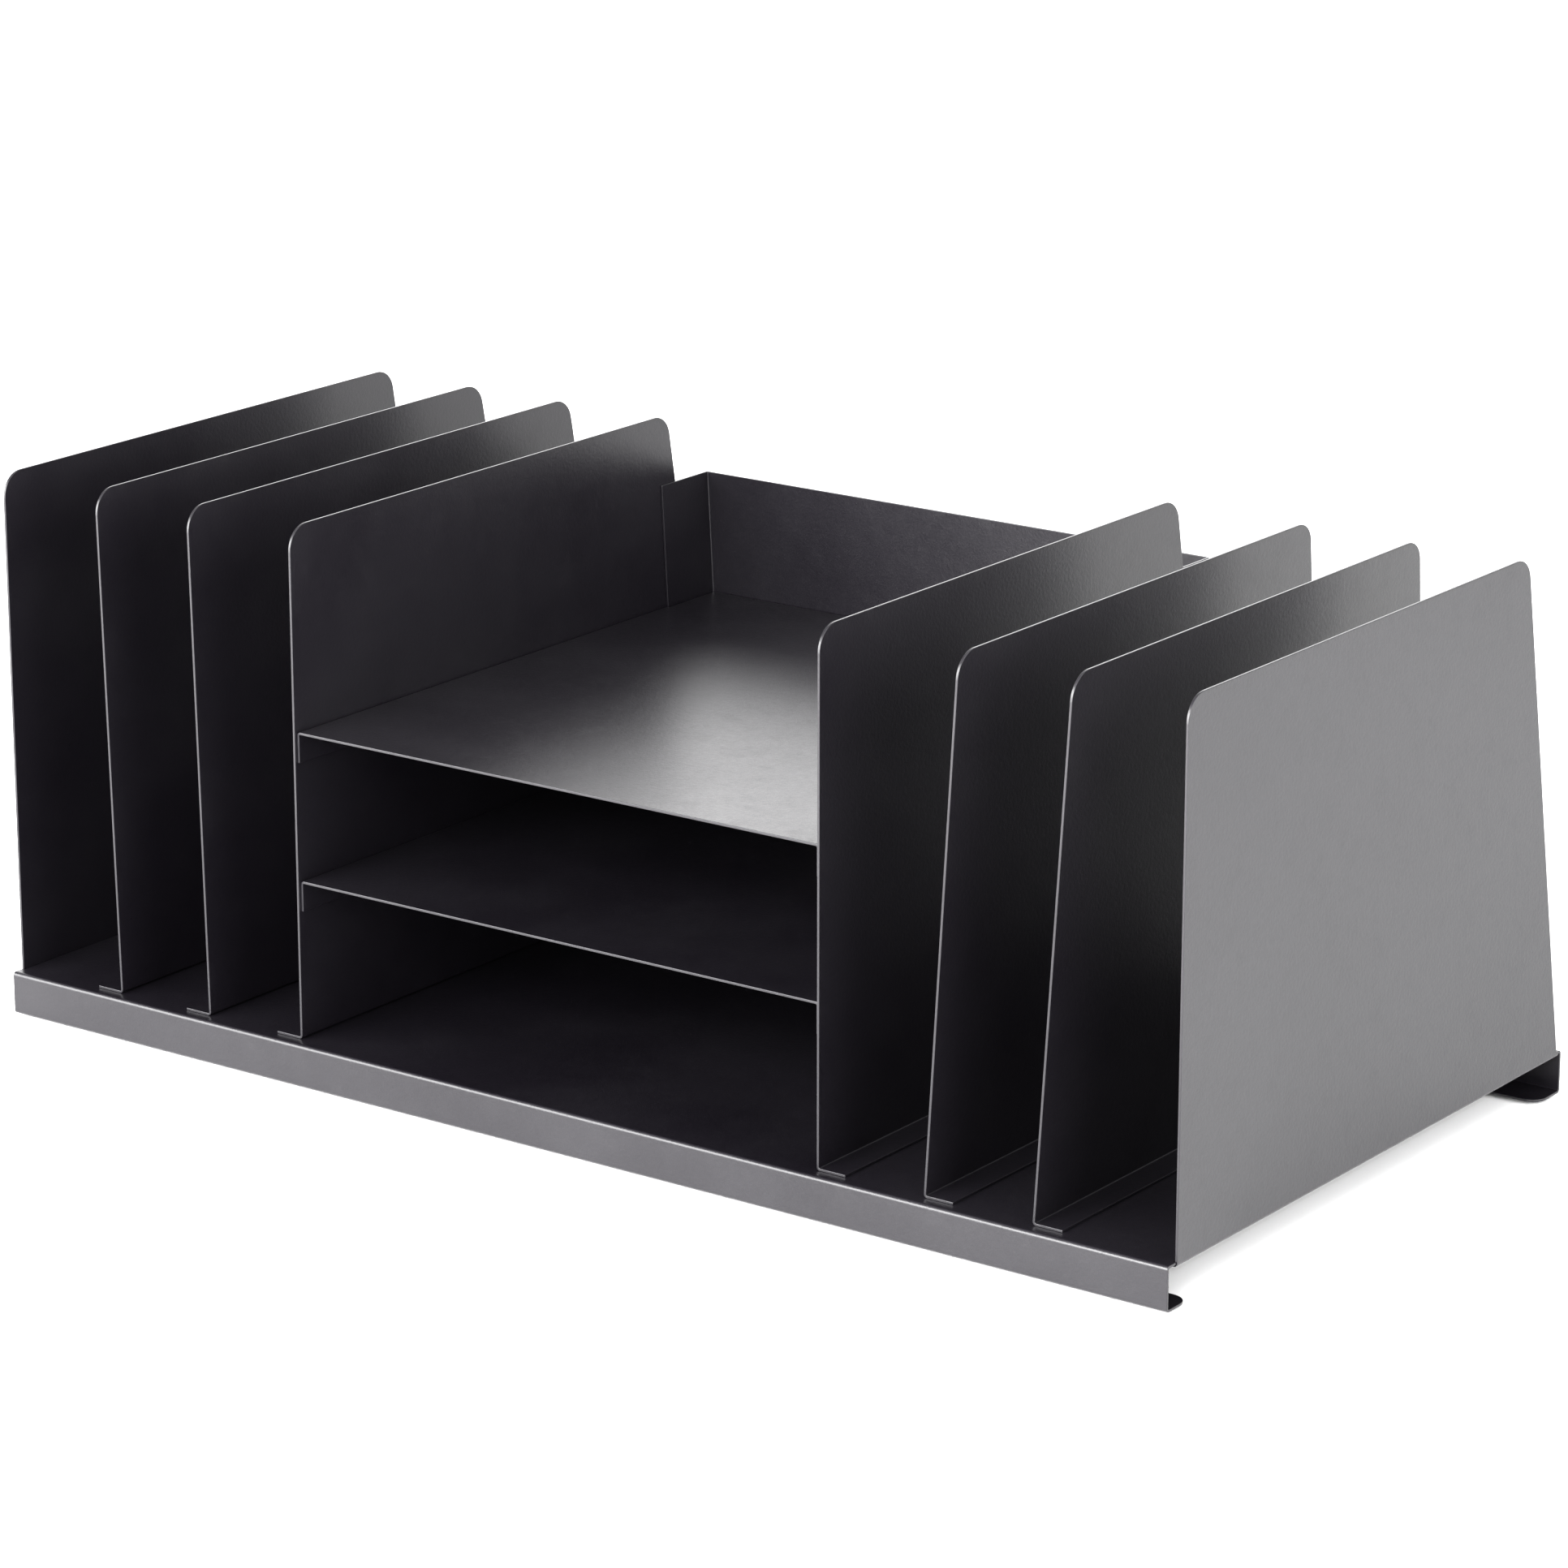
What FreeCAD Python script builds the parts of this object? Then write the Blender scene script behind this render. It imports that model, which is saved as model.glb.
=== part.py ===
import FreeCAD, Part
import Sketcher
import math
import os

# Desktop file sorter in folded steel sheet: a low tray, two end panels, six upright dividers that make
# three slots on each side, and a centre bay with a back panel and two shelves. Millimetres, +Z up, front
# at -Y. The origin is on the surface that the sorter stands on, at the middle of its bounding box.

DIMENSIONS = [
    # sheet and bends
    ("sheet_thickness", 1.0, "steel sheet of every folded piece"),
    ("bend_radius", 0.5, "inside radius of every fold"),
    ("edge_break", 0.2, "rounding of the cut edges under the paint"),
    # base tray
    ("deck_width", 533.4, "left to right over the tray"),
    ("deck_depth", 275.0, "front to back over the skirts"),
    ("skirt_height", 17.0, "underside of the return flanges to the top of the deck"),
    ("front_return", 14.5, "return flange under the front skirt"),
    ("rear_return", 16.5, "return flange under the rear skirt"),
    ("return_corner", 6.0, "corner radius of the return flanges"),
    # feet
    ("foot_height", 1.2, "rubber foot"),
    ("foot_diameter", 10.0, "rubber foot"),
    ("foot_round", 0.4, "rounded lower rim of a foot"),
    ("foot_front_inset", 8.2, "front of the tray to the middle of a front foot"),
    ("foot_rear_inset", 9.2, "back of the tray to the middle of a rear foot"),
    ("foot_side_inset", 24.0, "side of the tray to the middle of a foot"),
    # upright panels
    ("panel_height", 216.0, "underside of the return flanges to the top of the uprights"),
    ("panel_setback", 5.5, "front of the tray to the front edge of the uprights"),
    ("panel_flange", 12.5, "width of the foot flange of an upright"),
    ("flange_rear_inset", 2.8, "back of the tray to the end of a foot flange"),
    ("web_rear_inset", 4.2, "back of the tray to the foot of the raked rear edge"),
    ("top_rear_inset", 40.0, "back of the tray to the top of the raked rear edge"),
    ("rake_start", 2.2, "height above the fold where the raked rear edge starts"),
    ("corner_radius", 9.5, "top corners of the uprights"),
    ("panel_proud", 0.4, "end panels stand out past the tray"),
    ("notch_gap", 0.3, "front and rear clearance of an end panel in the deck's side notch"),
    # bay and slots, from the middle of the tray to the flat face on the bay side of each upright
    ("bay_left", 122.7, "left bay wall"),
    ("bay_right", 116.4, "right bay wall"),
    ("left_inner", 168.6, "left inner divider"),
    ("left_outer", 213.9, "left outer divider"),
    ("right_inner", 162.4, "right inner divider"),
    ("right_outer", 208.0, "right outer divider"),
    # outward lean of the dividers, in degrees
    ("left_inner_lean", 1.2, "left inner divider"),
    ("left_outer_lean", 1.4, "left outer divider"),
    ("right_inner_lean", 3.5, "right inner divider"),
    ("right_outer_lean", 3.7, "right outer divider"),
    # back panel
    ("back_height", 188.0, "underside of the return flanges to the top of the back panel"),
    ("back_inset", 1.8, "back of the tray to the foot of the back panel"),
    ("back_rake", 12.2, "the back panel's top is this much further forward than its foot"),
    ("back_flange", 31.0, "depth of the back panel's side flanges"),
    # shelves
    ("lower_shelf", 79.5, "underside of the return flanges to the top of the lower shelf"),
    ("upper_shelf", 137.5, "underside of the return flanges to the top of the upper shelf"),
    ("shelf_setback", 1.2, "front edge of the uprights to the front edge of a shelf"),
    ("shelf_flange", 12.0, "depth of the side flanges of a shelf"),
    ("shelf_gap", 0.5, "clearance between a shelf and the back panel"),
]

# Lengths that several pieces share, as expressions on the sheet.
OUTER_BEND = "(dims.bend_radius + dims.sheet_thickness)"
DECK_TOP = "(dims.foot_height + dims.skirt_height)"
PANEL_TOP = "(dims.foot_height + dims.panel_height)"
BACK_TOP = "(dims.foot_height + dims.back_height)"
REAR_SLOPE = "(dims.back_rake / (dims.back_height - dims.skirt_height))"

ACROSS = "(4 * dims.panel_flange)"  # a cut this wide goes through an upright, lean included

MARGIN = 1.0  # how far a cutting sketch reaches past the metal
TINY = 0.01  # lengths and volumes below this count as nothing
SHARP_DEGREES = 30  # faces that meet at more than this make a sharp edge
ORIGIN = -1  # Sketcher's number for the sketch origin and its horizontal axis
START, END, CENTRE = 1, 2, 3  # Sketcher's numbers for the points of a line or an arc


def make_document():
    doc = FreeCAD.newDocument("FileSorter")
    sheet = doc.addObject("Spreadsheet::Sheet", "dims")
    for row, (alias, value, note) in enumerate(DIMENSIONS, start=1):
        sheet.set("A%d" % row, alias)
        sheet.set("B%d" % row, str(value))
        sheet.set("C%d" % row, note)
        sheet.setAlias("B%d" % row, alias)
    doc.recompute()
    return doc


def value_of(thing, expression):
    """The number that an expression on the sheet gives."""
    result = thing.evalExpression(str(expression))
    return float(getattr(result, "Value", result))


def bind(thing, path, expression):
    thing.setExpression(path, str(expression))


def origin_plane(body, role):
    return [f for f in body.Origin.OriginFeatures if f.Role == role][0]


def new_sketch(body, name, role, offset="0"):
    """A sketch on one of the body's origin planes, moved along that plane's normal by offset."""
    sketch = body.newObject("Sketcher::SketchObject", name)
    sketch.AttachmentSupport = [(origin_plane(body, role), "")]
    sketch.MapMode = "FlatFace"
    bind(sketch, "AttachmentOffset.Base.z", offset)
    return sketch


def constrain(sketch, kind, *parts):
    return sketch.addConstraint(Sketcher.Constraint(kind, *parts))


def place_point(sketch, axis, geometry, point, expression):
    """Binds one coordinate of a point to an expression, which may be negative."""
    value = value_of(sketch, expression)
    ends = (ORIGIN, 1, geometry, point) if value >= 0 else (geometry, point, ORIGIN, 1)
    index = constrain(sketch, "Distance" + axis, *ends, abs(value))
    bind(sketch, "Constraints[%d]" % index, expression if value >= 0 else "-(%s)" % expression)


def polygon(sketch, corners):
    """A closed outline of straight lines whose corner coordinates are expressions."""
    points = [FreeCAD.Vector(value_of(sketch, x), value_of(sketch, y), 0) for x, y in corners]
    lines = []
    for i, point in enumerate(points):
        following = points[(i + 1) % len(points)]
        lines.append(sketch.addGeometry(Part.LineSegment(point, following)))
    for i, line in enumerate(lines):
        constrain(sketch, "Coincident", line, END, lines[(i + 1) % len(lines)], START)
        place_point(sketch, "X", line, START, corners[i][0])
        place_point(sketch, "Y", line, START, corners[i][1])


def sharp_corners(sketch, legs, ends, turn):
    """Where the outer faces of neighbouring legs would meet, with the two free ends."""
    first_is_level = legs[0][0] == "level"
    places = [value_of(sketch, leg[1]) for leg in legs]
    start, finish = [value_of(sketch, end) for end in ends]
    corners = [(start, places[0]) if first_is_level else (places[0], start)]
    for leg, here, following in zip(legs, places, places[1:]):
        corners.append((following, here) if leg[0] == "level" else (here, following))
    last_kind, last_place = legs[-1][0], places[-1]
    if last_kind == "level":
        corners.append((finish, last_place))
    else:
        lean = value_of(sketch, legs[-1][2]) if last_kind == "lean" else 0
        tip = turn * (finish - places[-2]) * math.tan(math.radians(lean))
        corners.append((last_place + tip, finish))
    return [FreeCAD.Vector(x, y, 0) for x, y in corners]


def folded_section(sketch, legs, ends, turn):
    """The closed section of a folded sheet.

    legs are the flat stretches in order: ("level", place) or ("upright", place), where place is the
    coordinate of the outer face, or, as a last leg, ("lean", place, degrees), which starts from place and
    tips towards the side that the first leg is on. ends are the coordinates of the two cut ends.
    turn is 1 where the sheet's inner side is clockwise of the way along the legs, else -1.
    """
    outer = sharp_corners(sketch, legs, ends, turn)
    thickness = value_of(sketch, "dims.sheet_thickness")
    radius = value_of(sketch, "dims.bend_radius")
    ways = [(outer[i + 1] - outer[i]).normalize() for i in range(len(legs))]
    inward = [FreeCAD.Vector(turn * way.y, -turn * way.x, 0) for way in ways]
    centres = []
    for i in range(len(legs) - 1):
        half = inward[i].getAngle(inward[i + 1]) / 2
        diagonal = (inward[i] + inward[i + 1]).normalize()
        centres.append(outer[i + 1] + diagonal * ((radius + thickness) / math.cos(half)))

    def side(reach):
        """The lines and arcs of the face at this reach from the bend centres, in order."""
        offset = radius + thickness - reach
        stops = [outer[0] + inward[0] * offset]
        for i, centre in enumerate(centres):
            stops.append(centre - inward[i] * reach)
            stops.append(centre - inward[i + 1] * reach)
        stops.append(outer[-1] + inward[-1] * offset)
        pieces = []
        for i in range(len(legs)):
            pieces.append(sketch.addGeometry(Part.LineSegment(stops[2 * i], stops[2 * i + 1])))
            if i < len(centres):
                middle = centres[i] - (inward[i] + inward[i + 1]).normalize() * reach
                arc = Part.Arc(stops[2 * i + 1], middle, stops[2 * i + 2])
                pieces.append(sketch.addGeometry(arc))
        return pieces, stops

    outside, outside_stops = side(radius + thickness)
    inside, inside_stops = side(radius)
    caps = []
    for which in (0, -1):
        cap = Part.LineSegment(outside_stops[which], inside_stops[which])
        caps.append(sketch.addGeometry(cap))

    def ends_of(piece, start_at):
        """Which end of a line or arc is at the given point."""
        first = sketch.getPoint(piece, START).distanceToPoint(start_at) < TINY
        return (START, END) if first else (END, START)

    for pieces, stops in ((outside, outside_stops), (inside, inside_stops)):
        for i in range(len(pieces) - 1):
            leaving = ends_of(pieces[i], stops[i])[1]
            arriving = ends_of(pieces[i + 1], stops[i + 1])[0]
            constrain(sketch, "Tangent", pieces[i], leaving, pieces[i + 1], arriving)
    for cap, which in zip(caps, (0, -1)):
        far_end = START if which == 0 else END
        constrain(sketch, "Coincident", cap, START, outside[which], far_end)
        constrain(sketch, "Coincident", cap, END, inside[which], far_end)
    for i in range(len(centres)):
        outer_arc, inner_arc = outside[2 * i + 1], inside[2 * i + 1]
        constrain(sketch, "Coincident", outer_arc, CENTRE, inner_arc, CENTRE)
        index = constrain(sketch, "Radius", outer_arc, radius + thickness)
        bind(sketch, "Constraints[%d]" % index, OUTER_BEND)
        index = constrain(sketch, "Radius", inner_arc, radius)
        bind(sketch, "Constraints[%d]" % index, "dims.bend_radius")

    for i, leg in enumerate(legs):
        outer_line, inner_line = outside[2 * i], inside[2 * i]
        free_leg = i in (0, len(legs) - 1)
        if leg[0] == "lean":
            angle = value_of(sketch, leg[2])
            pair = [(outside[0], END), (outer_line, START)][::turn]
            index = constrain(sketch, "Angle", *pair[0], *pair[1], math.radians(90 - angle))
            bind(sketch, "Constraints[%d]" % index, "90 - %s" % leg[2])
            constrain(sketch, "Parallel", outer_line, inner_line)
            reach = "%s * (1 + sin(%s)) / cos(%s)" % (OUTER_BEND, leg[2], leg[2])
            place_point(sketch, "X", outside[2 * i - 1], CENTRE, "%s + (%d) * %s" % (leg[1], turn, reach))
            continue
        direction, axis = ("Horizontal", "Y") if leg[0] == "level" else ("Vertical", "X")
        constrain(sketch, direction, outer_line)
        if free_leg:
            constrain(sketch, direction, inner_line)
        place_point(sketch, axis, outer_line, START, leg[1])
    for cap, leg, end in zip(caps, (legs[0], legs[-1]), ends):
        direction, axis = ("Vertical", "X") if leg[0] == "level" else ("Horizontal", "Y")
        constrain(sketch, direction, cap)
        place_point(sketch, axis, cap, START, end)


def pad(body, sketch, length, both_ways=False, backwards=False):
    feature = body.newObject("PartDesign::Pad", sketch.Name + "_pad")
    feature.Profile = sketch
    bind(feature, "Length", length)
    feature.Reversed = backwards
    if both_ways:
        feature.SideType = "Symmetric"
    body.Tip = feature
    sketch.Document.recompute()
    return feature


def cut(body, sketch, length, both_ways=False):
    """A pocket that has to take metal away."""
    before = body.Shape.Volume
    feature = body.newObject("PartDesign::Pocket", sketch.Name + "_cut")
    feature.Profile = sketch
    bind(feature, "Length", length)
    if both_ways:
        feature.SideType = "Symmetric"
    body.Tip = feature
    sketch.Document.recompute()
    if not body.Shape.Volume < before - TINY:
        raise RuntimeError("%s cut nothing" % feature.Name)
    return feature


def round_edges(body, name, radius, chosen):
    """Rounds the edges of the body's present shape that the chosen test picks."""
    base = body.Tip
    names = ["Edge%d" % i for i, edge in enumerate(base.Shape.Edges, start=1) if chosen(base.Shape, edge)]
    feature = body.newObject("PartDesign::Fillet", name)
    feature.Base = (base, names)
    bind(feature, "Radius", radius)
    body.Tip = feature
    body.Document.recompute()
    return feature


def is_sharp(shape, edge):
    """True where two faces meet at a corner, not in a smooth bend."""
    faces = shape.ancestorsOfType(edge, Part.Face)
    if len(faces) != 2:
        return False
    middle = edge.valueAt((edge.FirstParameter + edge.LastParameter) / 2)
    normals = []
    for face in faces:
        u, v = face.Surface.parameter(middle)
        normals.append(face.normalAt(u, v))
    return normals[0].getAngle(normals[1]) > math.radians(SHARP_DEGREES)


def break_edges(body):
    return round_edges(body, body.Name + "_edge_break", "dims.edge_break", is_sharp)


def new_body(doc, label):
    body = doc.addObject("PartDesign::Body", label)
    body.Label = label
    return body


def base_tray(doc):
    """Deck, front and rear skirts and the return flanges under them, bent from one sheet."""
    body = new_body(doc, "base_tray")
    section = new_sketch(body, "tray_section", "YZ_Plane")
    legs = [
        ("level", "dims.foot_height"),
        ("upright", "-dims.deck_depth / 2"),
        ("level", DECK_TOP),
        ("upright", "dims.deck_depth / 2"),
        ("level", "dims.foot_height"),
    ]
    ends = ("dims.front_return - dims.deck_depth / 2", "dims.deck_depth / 2 - dims.rear_return")
    folded_section(section, legs, ends, 1)
    pad(body, section, "dims.deck_width", both_ways=True)

    # The sides of the deck step in so that the end panels pass down beside it.
    notch = "(dims.sheet_thickness + dims.bend_radius - dims.panel_proud)"
    front = "dims.panel_setback - dims.deck_depth / 2 - dims.notch_gap"
    rear = "dims.deck_depth / 2 - dims.flange_rear_inset + dims.notch_gap"
    for name, sign in (("left_notch", "-"), ("right_notch", "")):
        sketch = new_sketch(body, name, "XY_Plane", "%s + %s" % (DECK_TOP, MARGIN))
        inner = "%s(dims.deck_width / 2 - %s)" % (sign, notch)
        outer = "%s(dims.deck_width / 2 + %s)" % (sign, MARGIN)
        polygon(sketch, [(inner, front), (outer, front), (outer, rear), (inner, rear)])
        cut(body, sketch, "dims.sheet_thickness + %s" % (2 * MARGIN))

    front_end = value_of(body, "dims.front_return - dims.deck_depth / 2")
    rear_end = value_of(body, "dims.deck_depth / 2 - dims.rear_return")
    half_sheet = value_of(body, "dims.sheet_thickness / 2")

    def is_flange_corner(shape, edge):
        middle = edge.CenterOfMass
        on_end = min(abs(middle.y - front_end), abs(middle.y - rear_end)) < TINY
        return on_end and edge.BoundBox.ZLength > half_sheet

    round_edges(body, "tray_return_corners", "dims.return_corner", is_flange_corner)
    break_edges(body)
    return body


def upright_panel(doc, label, side, face_x, base_z, lean="0"):
    """An L-shaped upright: a foot flange on the given side (1 right, -1 left) and a web.

    The web's flat face away from the flange starts at face_x, and its lean tips it over the flange.
    """
    body = new_body(doc, label)
    bind(body, "Placement.Base.x", face_x)
    bind(body, "Placement.Base.y", "dims.panel_setback - dims.deck_depth / 2")
    section = new_sketch(body, label + "_section", "XZ_Plane")
    first_leg = ("level", base_z)
    leaning = value_of(body, lean) > 0
    web = ("lean", "0", lean) if leaning else ("upright", "0")
    folded_section(section, [first_leg, web], ("%d * dims.panel_flange" % side, PANEL_TOP), side)
    run = "(dims.deck_depth - dims.flange_rear_inset - dims.panel_setback)"
    pad(body, section, run, backwards=True)

    # The rear edge rakes forward from just above the flange to the top.
    depth = "(dims.deck_depth - dims.panel_setback)"
    foot_y = "(%s - dims.web_rear_inset)" % depth
    foot_z = "(%s + dims.rake_start)" % base_z
    drop = "((dims.top_rear_inset - dims.web_rear_inset) / (%s - %s))" % (PANEL_TOP, foot_z)
    over_z = "(%s + %s)" % (PANEL_TOP, MARGIN)
    over_y = "(%s - %s * (%s - %s))" % (foot_y, drop, over_z, foot_z)
    past_y = "(%s + %s)" % (depth, MARGIN)
    rake = new_sketch(body, label + "_rake", "YZ_Plane")
    polygon(rake, [(foot_y, foot_z), (past_y, foot_z), (past_y, over_z), (over_y, over_z)])
    cut(body, rake, ACROSS, both_ways=True)

    top = value_of(body, PANEL_TOP)
    half_sheet = value_of(body, "dims.sheet_thickness / 2")

    def is_top_corner(shape, edge):
        box = edge.BoundBox
        runs_across = box.YLength < half_sheet < box.XLength
        return box.ZMin > top - half_sheet and runs_across

    round_edges(body, label + "_corners", "dims.corner_radius", is_top_corner)
    break_edges(body)
    return body


def back_panel(doc):
    """A channel that closes the centre bay: a raked back and a flange along each bay wall."""
    body = new_body(doc, "back_panel")
    bind(body, "Placement.Base.z", DECK_TOP)
    section = new_sketch(body, "back_section", "XY_Plane")
    back = "dims.deck_depth / 2 - dims.back_inset"
    legs = [("upright", "-dims.bay_left"), ("level", back), ("upright", "dims.bay_right")]
    free_end = "%s - dims.back_flange" % back
    folded_section(section, legs, (free_end, free_end), 1)
    feature = pad(body, section, "dims.back_height - dims.skirt_height")
    feature.UseCustomVector = True
    feature.Direction = FreeCAD.Vector(0, -value_of(body, REAR_SLOPE), 1)
    bind(feature, "Direction.y", "-%s" % REAR_SLOPE)
    doc.recompute()
    break_edges(body)
    return body


def shelf(doc, label, top):
    """A shelf with a flange bent down along each bay wall, notched round the back panel's flanges."""
    body = new_body(doc, label)
    bind(body, "Placement.Base.y", "dims.panel_setback + dims.shelf_setback - dims.deck_depth / 2")
    bind(body, "Placement.Base.z", "dims.foot_height + %s" % top)
    section = new_sketch(body, label + "_section", "XZ_Plane")
    legs = [("upright", "-dims.bay_left"), ("level", "0"), ("upright", "dims.bay_right")]
    folded_section(section, legs, ("-dims.shelf_flange", "-dims.shelf_flange"), 1)
    rise = "(%s - dims.skirt_height)" % top
    front = "(dims.panel_setback + dims.shelf_setback)"
    back_face = "(dims.deck_depth - dims.back_inset - dims.sheet_thickness - %s * %s)" % (REAR_SLOPE, rise)
    length = "(%s - dims.shelf_gap - %s)" % (back_face, front)
    pad(body, section, length, backwards=True)

    flange_front = "(%s + dims.sheet_thickness - dims.back_flange - %s)" % (back_face, front)
    notch_front = "(%s - %s)" % (flange_front, MARGIN)
    width = "(dims.sheet_thickness + dims.bend_radius + dims.shelf_gap)"
    for name, inner, outer in (
        ("left", "-(dims.bay_left - %s)" % width, "-(dims.bay_left + %s)" % MARGIN),
        ("right", "dims.bay_right - %s" % width, "dims.bay_right + %s" % MARGIN),
    ):
        sketch = new_sketch(body, "%s_%s_notch" % (label, name), "XY_Plane", str(MARGIN))
        end = "(%s + %s)" % (length, MARGIN)
        polygon(sketch, [(inner, notch_front), (outer, notch_front), (outer, end), (inner, end)])
        cut(body, sketch, "dims.shelf_flange + %s" % (2 * MARGIN))
    break_edges(body)
    return body


def foot(doc, label, x, y):
    """A round rubber foot under a return flange."""
    body = new_body(doc, label)
    bind(body, "Placement.Base.x", x)
    bind(body, "Placement.Base.y", y)
    outline = new_sketch(body, label + "_outline", "XY_Plane")
    radius = value_of(body, "dims.foot_diameter / 2")
    circle = outline.addGeometry(Part.Circle(FreeCAD.Vector(0, 0, 0), FreeCAD.Vector(0, 0, 1), radius))
    constrain(outline, "Coincident", circle, CENTRE, ORIGIN, 1)
    index = constrain(outline, "Diameter", circle, 2 * radius)
    bind(outline, "Constraints[%d]" % index, "dims.foot_diameter")
    pad(body, outline, "dims.foot_height")

    def is_lower_rim(shape, edge):
        return edge.BoundBox.ZMax < TINY

    round_edges(body, label + "_rim", "dims.foot_round", is_lower_rim)
    return body


def build(doc):
    parts = [base_tray(doc)]
    under_deck = "(%s - 2 * dims.sheet_thickness)" % DECK_TOP
    outside = "(dims.deck_width / 2 + dims.panel_proud)"
    parts.append(upright_panel(doc, "end_panel_left", 1, "-" + outside, under_deck))
    parts.append(upright_panel(doc, "end_panel_right", -1, outside, under_deck))
    dividers = [
        ("divider_left_outer", -1, "-dims.left_outer", "dims.left_outer_lean"),
        ("divider_left_inner", -1, "-dims.left_inner", "dims.left_inner_lean"),
        ("bay_wall_left", -1, "-dims.bay_left", "0"),
        ("bay_wall_right", 1, "dims.bay_right", "0"),
        ("divider_right_inner", 1, "dims.right_inner", "dims.right_inner_lean"),
        ("divider_right_outer", 1, "dims.right_outer", "dims.right_outer_lean"),
    ]
    for label, side, face_x, lean in dividers:
        parts.append(upright_panel(doc, label, side, face_x, DECK_TOP, lean))
    parts.append(back_panel(doc))
    parts.append(shelf(doc, "shelf_lower", "dims.lower_shelf"))
    parts.append(shelf(doc, "shelf_upper", "dims.upper_shelf"))
    side_x = "(dims.deck_width / 2 - dims.foot_side_inset)"
    front_y = "dims.foot_front_inset - dims.deck_depth / 2"
    rear_y = "dims.deck_depth / 2 - dims.foot_rear_inset"
    for row, y in (("front", front_y), ("rear", rear_y)):
        for name, x in (("left", "-" + side_x), ("right", side_x)):
            parts.append(foot(doc, "foot_%s_%s" % (row, name), x, y))
    doc.recompute()
    return parts


def check(doc, parts):
    """Stops if any object failed, or any piece is not one valid solid."""
    for thing in doc.Objects:
        if "Invalid" in thing.State or "Error" in thing.State:
            raise RuntimeError("%s is %s" % (thing.Name, thing.State))
    for part in parts:
        shape = part.Shape
        if shape.isNull() or not shape.isValid() or len(shape.Solids) != 1:
            raise RuntimeError("%s has a bad shape" % part.Label)


def write(parts):
    os.makedirs("parts", exist_ok=True)
    for part in parts:
        part.Shape.exportStep("parts/%s.step" % part.Label)
        box = part.Shape.BoundBox
        sizes = (part.Label, box.XMin, box.XMax, box.YMin, box.YMax, box.ZMin, box.ZMax, part.Shape.Volume)
        print("%-20s x %.1f..%.1f  y %.1f..%.1f  z %.1f..%.1f  volume %.0f" % sizes)


document = make_document()
pieces = build(document)
check(document, pieces)
write(pieces)
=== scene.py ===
"""Desktop file sorter: powder-coated steel and rubber finishes, a pale studio and the camera."""

import math

import bpy
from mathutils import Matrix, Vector


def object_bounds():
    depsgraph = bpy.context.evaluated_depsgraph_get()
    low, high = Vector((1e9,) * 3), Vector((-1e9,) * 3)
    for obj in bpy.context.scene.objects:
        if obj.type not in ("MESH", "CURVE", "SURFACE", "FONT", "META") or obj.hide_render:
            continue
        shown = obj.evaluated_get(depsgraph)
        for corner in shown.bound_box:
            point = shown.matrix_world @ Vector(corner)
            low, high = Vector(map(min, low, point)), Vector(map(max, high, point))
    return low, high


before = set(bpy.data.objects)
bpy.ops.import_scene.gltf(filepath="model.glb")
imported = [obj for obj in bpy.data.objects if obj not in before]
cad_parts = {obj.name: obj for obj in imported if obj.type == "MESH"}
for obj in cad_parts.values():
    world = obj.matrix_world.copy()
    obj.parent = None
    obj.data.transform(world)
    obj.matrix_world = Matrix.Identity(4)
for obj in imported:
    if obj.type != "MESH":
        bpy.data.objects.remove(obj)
cad_low, cad_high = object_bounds()

MM = 0.001
CENTRE = (cad_low + cad_high) / 2

# The camera's place round the middle of the sorter, in degrees and metres, and its lens in millimetres.
VIEW_AZIMUTH = 36.1
VIEW_ELEVATION = 16.6
VIEW_DISTANCE = 2.157
VIEW_ASIDE = 0.0048
LENS = 130.8
SENSOR = 36.0
CLIP_NEAR = 0.05
CLIP_FAR = 60.0

# The record's material slots.
STEEL_SLOT = "black_powder_coat"
RUBBER_SLOT = "foot_rubber"

# Nearly all of a noise texture's values lie between these.
NOISE_LOW = 0.3
NOISE_HIGH = 0.7

# The powder coat: linear colours, the size of each pattern's features and the depth of its relief.
COAT_DEEP = (0.0065, 0.0055, 0.0078)
COAT_PALE = (0.0088, 0.0078, 0.0102)
COAT_FLECK = (0.021, 0.019, 0.024)
COAT_IOR = 1.55
GRAIN_SIZE = 0.4 * MM
PEEL_SIZE = 1.4 * MM
MOTTLE_SIZE = 2.4 * MM
SMUDGE_SIZE = 9 * MM
CLOUD_SIZE = 70 * MM
GRAIN_DEPTH = 0.03 * MM
PEEL_DEPTH = 0.05 * MM
COAT_RELIEF = 0.8

# The feet's rubber.
RUBBER_DARK = (0.012, 0.012, 0.012)
RUBBER_DUSTY = (0.035, 0.034, 0.032)
RUBBER_IOR = 1.52
RUBBER_GRAIN_SIZE = 0.25 * MM
RUBBER_GRAIN_DEPTH = 0.03 * MM
RUBBER_RELIEF = 0.6
DUST_SIZE = 3 * MM

# The studio.
FLOOR_HALF = 12.0
FLOOR_GREY = (0.94, 0.94, 0.94)
FLOOR_WHITE = (0.98, 0.98, 0.98)
FLOOR_ROUGHNESS = 0.9
FLOOR_GRAIN_SIZE = 6 * MM
ROOM_STRENGTH = 0.85


def around(azimuth, elevation, distance):
    """The point that far from the middle of the sorter. Azimuth 0 is in front and 90 to the right."""
    a = math.radians(azimuth)
    e = math.radians(elevation)
    outward = Vector((math.sin(a) * math.cos(e), -math.cos(a) * math.cos(e), math.sin(e)))
    return CENTRE + outward * distance


def aim(thing, target):
    """Turns a camera or a lamp to face a point."""
    thing.rotation_euler = (target - thing.location).to_track_quat("-Z", "Y").to_euler()


def link(thing):
    """Puts an object in the scene."""
    bpy.context.scene.collection.objects.link(thing)
    return thing


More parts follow.
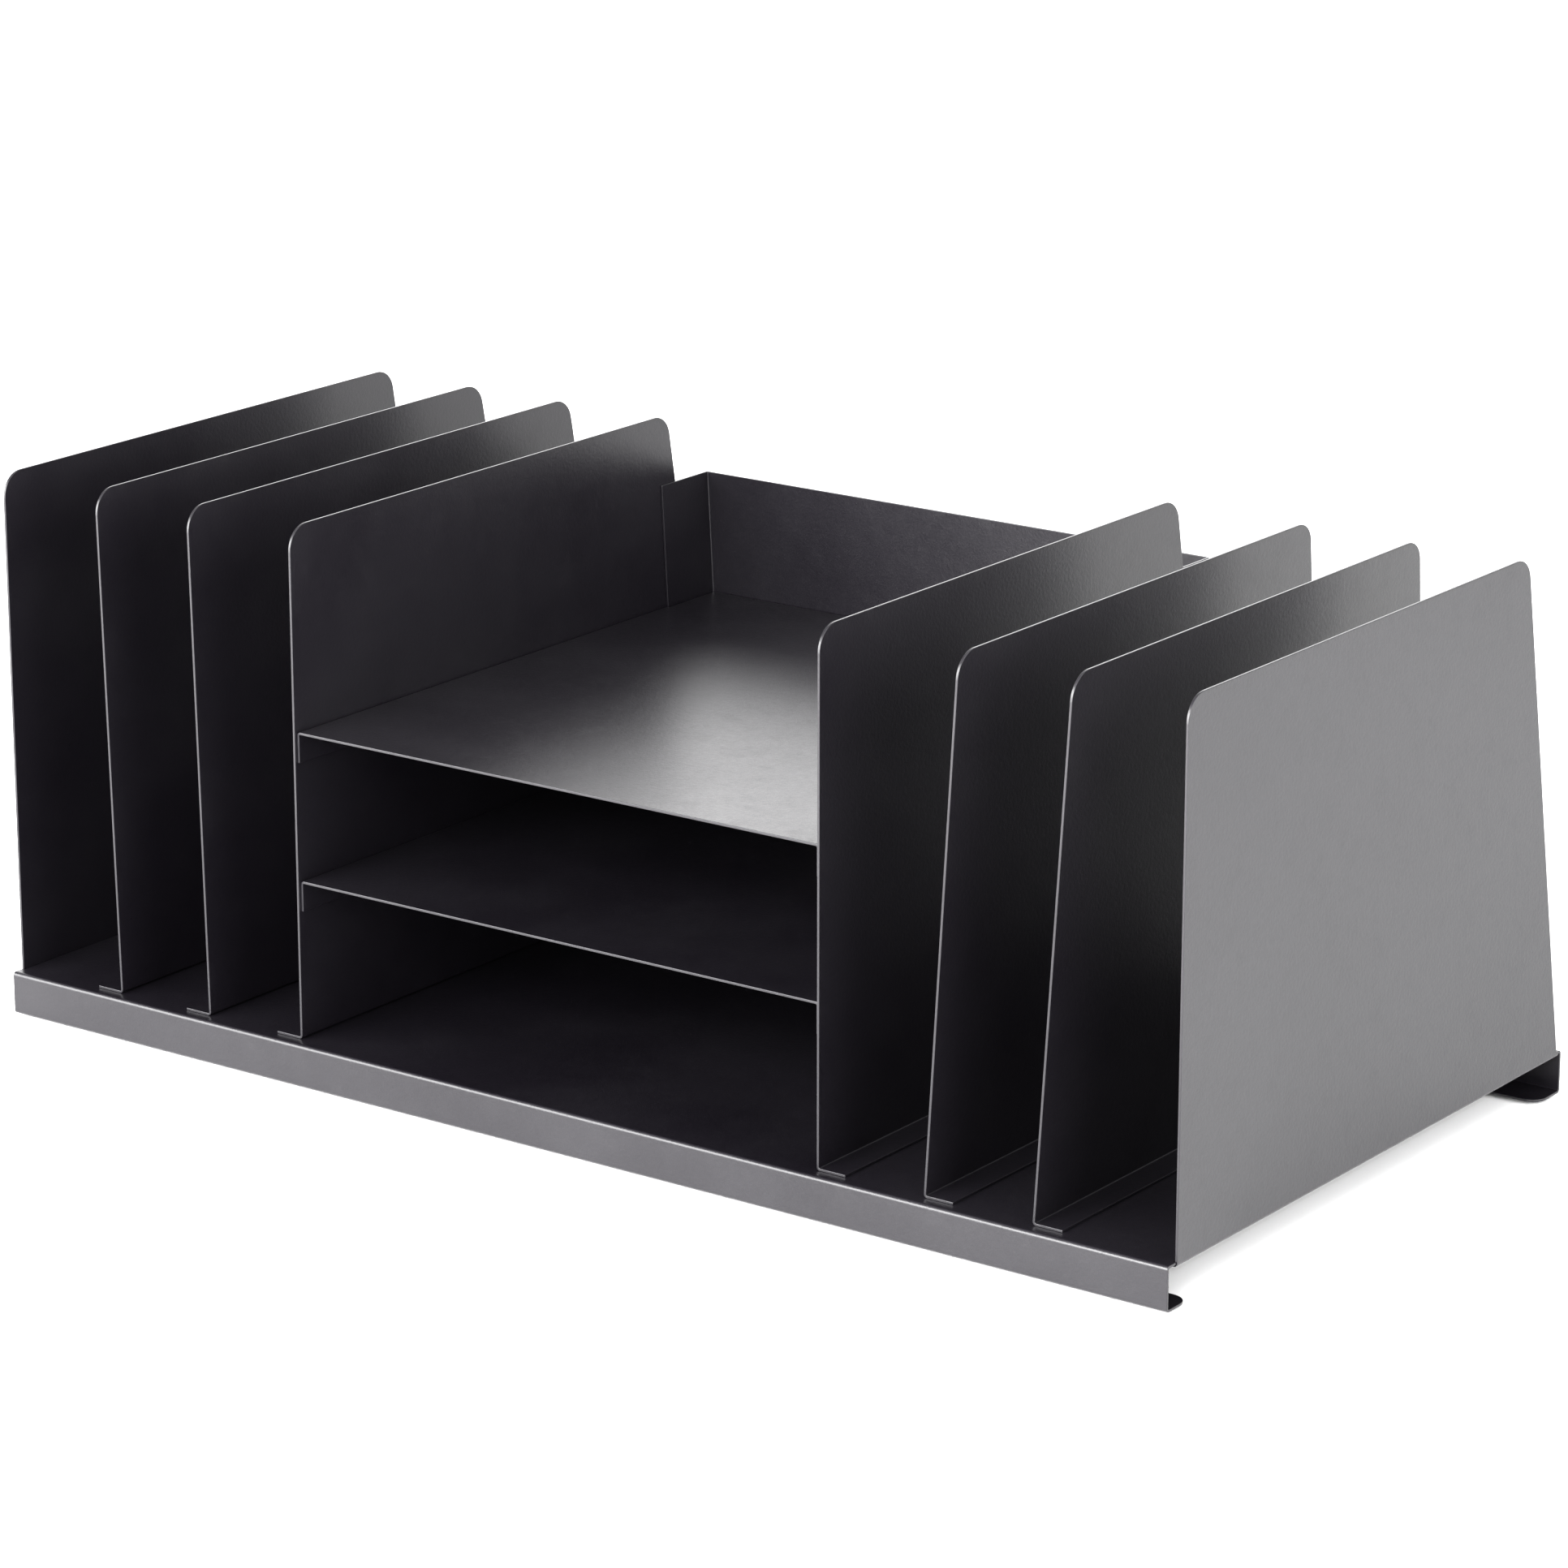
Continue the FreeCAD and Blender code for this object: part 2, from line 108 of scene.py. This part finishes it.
# ---------------------------------------------------------------- material nodes


class Tree:
    """A material's node tree, with short ways to add and join its nodes."""

    def __init__(self, name):
        self.material = bpy.data.materials.new(name)
        self.material.use_nodes = True
        self.nodes = self.material.node_tree.nodes
        self.links = self.material.node_tree.links
        self.shader = self.nodes["Principled BSDF"]
        self.place = self.add("ShaderNodeTexCoord").outputs["Object"]

    def add(self, kind, **settings):
        """A new node of that kind, with its settings."""
        node = self.nodes.new(kind)
        for key, value in settings.items():
            setattr(node, key, value)
        return node

    def join(self, source, node, socket):
        """Links an output to one of a node's inputs."""
        self.links.new(source, node.inputs[socket])

    def noise(self, size, detail, rough=0.5):
        """Noise from 0 to 1 whose features are about this many metres across."""
        noise = self.add("ShaderNodeTexNoise")
        self.join(self.place, noise, "Vector")
        noise.inputs["Scale"].default_value = 1.0 / size
        noise.inputs["Detail"].default_value = detail
        noise.inputs["Roughness"].default_value = rough
        return noise.outputs["Fac"]

    def remap(self, value, low, high, to_low, to_high):
        """The value, eased from the range low..high to the range to_low..to_high."""
        node = self.add("ShaderNodeMapRange", clamp=True, interpolation_type="SMOOTHSTEP")
        self.join(value, node, "Value")
        node.inputs["From Min"].default_value = low
        node.inputs["From Max"].default_value = high
        node.inputs["To Min"].default_value = to_low
        node.inputs["To Max"].default_value = to_high
        return node.outputs["Result"]

    def sum(self, first, *others):
        """All the outputs added together."""
        total = first
        for other in others:
            node = self.add("ShaderNodeMath", operation="ADD")
            self.join(total, node, 0)
            self.join(other, node, 1)
            total = node.outputs["Value"]
        return total

    def blend(self, factor, first, second):
        """A colour between two, by factor. Each is plain numbers or another node's output."""
        node = self.add("ShaderNodeMix", data_type="RGBA")
        self.join(factor, node, "Factor")
        colours = [socket for socket in node.inputs if socket.type == "RGBA"]
        for socket, colour in zip(colours, (first, second)):
            if isinstance(colour, bpy.types.NodeSocket):
                self.links.new(colour, socket)
            else:
                socket.default_value = (*colour, 1.0)
        return next(socket for socket in node.outputs if socket.type == "RGBA")

    def bump(self, height, depth, strength, under=None):
        """The surface's normal with a relief this many metres deep, on top of the one under it."""
        node = self.add("ShaderNodeBump")
        node.inputs["Distance"].default_value = depth
        node.inputs["Strength"].default_value = strength
        self.join(height, node, "Height")
        if under is not None:
            self.join(under, node, "Normal")
        return node.outputs["Normal"]


def powder_coat():
    """Satin black powder coat: fine orange peel, a grain in its colour and gloss, and faint rubs."""
    t = Tree("satin_black_powder_coat")
    peel = t.noise(PEEL_SIZE, detail=1.0)
    grain = t.noise(GRAIN_SIZE, detail=2.0)
    mottle = t.noise(MOTTLE_SIZE, detail=2.0)
    cloud = t.noise(CLOUD_SIZE, detail=3.0)
    smudge = t.noise(SMUDGE_SIZE, detail=3.0, rough=0.6)

    tone = t.blend(t.remap(cloud, 0.35, 0.65, 0.0, 1.0), COAT_DEEP, COAT_PALE)
    flecked = t.blend(t.remap(grain, 0.60, 0.80, 0.0, 0.5), tone, COAT_FLECK)
    t.join(flecked, t.shader, "Base Color")

    roughness = t.sum(
        t.remap(cloud, NOISE_LOW, NOISE_HIGH, 0.32, 0.34),
        t.remap(smudge, 0.45, 0.75, 0.0, 0.03),
        t.remap(mottle, NOISE_LOW, NOISE_HIGH, -0.013, 0.013),
        t.remap(grain, NOISE_LOW, NOISE_HIGH, -0.035, 0.035),
    )
    t.join(roughness, t.shader, "Roughness")

    waves = t.bump(peel, PEEL_DEPTH, COAT_RELIEF)
    t.join(t.bump(grain, GRAIN_DEPTH, COAT_RELIEF, waves), t.shader, "Normal")
    t.shader.inputs["IOR"].default_value = COAT_IOR
    return t.material


def rubber():
    """Dark moulded rubber with a fine matt grain and a little dust."""
    t = Tree("dark_foot_rubber")
    grain = t.noise(RUBBER_GRAIN_SIZE, detail=3.0)
    dust = t.noise(DUST_SIZE, detail=3.0)
    tone = t.blend(t.remap(dust, 0.45, 0.75, 0.0, 1.0), RUBBER_DARK, RUBBER_DUSTY)
    t.join(tone, t.shader, "Base Color")
    t.join(t.remap(grain, NOISE_LOW, NOISE_HIGH, 0.72, 0.88), t.shader, "Roughness")
    t.join(t.bump(grain, RUBBER_GRAIN_DEPTH, RUBBER_RELIEF), t.shader, "Normal")
    t.shader.inputs["IOR"].default_value = RUBBER_IOR
    return t.material


finishes = {STEEL_SLOT: powder_coat(), RUBBER_SLOT: rubber()}
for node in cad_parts.values():
    for slot in node.material_slots:
        slot.material = finishes[slot.material.name]


# ---------------------------------------------------------------- studio


def floor():
    """A wide pale floor under the feet."""
    mesh = bpy.data.meshes.new("floor")
    corners = [(x * FLOOR_HALF, y * FLOOR_HALF, 0.0) for x, y in ((-1, -1), (1, -1), (1, 1), (-1, 1))]
    mesh.from_pydata(corners, [], [(0, 1, 2, 3)])
    t = Tree("pale_floor")
    grain = t.noise(FLOOR_GRAIN_SIZE, detail=3.0)
    t.join(t.blend(grain, FLOOR_GREY, FLOOR_WHITE), t.shader, "Base Color")
    t.shader.inputs["Roughness"].default_value = FLOOR_ROUGHNESS
    t.shader.inputs["Specular IOR Level"].default_value = 0.0
    mesh.materials.append(t.material)
    link(bpy.data.objects.new("floor", mesh))


def room_light(strength):
    """An even white room all round."""
    world = bpy.data.worlds.new("studio")
    world.use_nodes = True
    background = world.node_tree.nodes["Background"]
    background.inputs["Color"].default_value = (1.0, 1.0, 1.0, 1.0)
    background.inputs["Strength"].default_value = strength
    bpy.context.scene.world = world


def softbox(name, azimuth, elevation, distance, width, height, power):
    """A rectangular lamp that faces the middle of the sorter, hidden from the camera: metres and watts."""
    lamp = bpy.data.lights.new(name, "AREA")
    lamp.shape = "RECTANGLE"
    lamp.size = width
    lamp.size_y = height
    lamp.energy = power
    thing = link(bpy.data.objects.new(name, lamp))
    thing.location = around(azimuth, elevation, distance)
    thing.visible_camera = False
    aim(thing, CENTRE)


floor()
room_light(ROOM_STRENGTH)
softbox("softbox_right", azimuth=90, elevation=14, distance=2.4, width=2.6, height=2.0, power=100)
softbox("softbox_front_left", azimuth=-36, elevation=14, distance=2.6, width=3.0, height=1.8, power=190)
softbox("softbox_front", azimuth=5, elevation=20, distance=2.6, width=2.6, height=1.6, power=190)
softbox("softbox_behind", azimuth=216, elevation=20, distance=2.8, width=2.6, height=1.6, power=34)
softbox("softbox_above", azimuth=55, elevation=64, distance=2.2, width=1.8, height=1.8, power=12)


# ---------------------------------------------------------------- camera

lens = bpy.data.cameras.new("camera")
lens.lens = LENS
lens.sensor_width = SENSOR
lens.clip_start = CLIP_NEAR
lens.clip_end = CLIP_FAR
camera = link(bpy.data.objects.new("camera", lens))
turn = math.radians(VIEW_AZIMUTH)
aside = Vector((math.cos(turn), math.sin(turn), 0.0)) * VIEW_ASIDE
camera.location = around(VIEW_AZIMUTH, VIEW_ELEVATION, VIEW_DISTANCE) + aside
aim(camera, CENTRE + aside)
bpy.context.scene.camera = camera
bpy.context.scene.view_settings.view_transform = "Standard"
bpy.context.scene.view_settings.look = "Medium High Contrast"
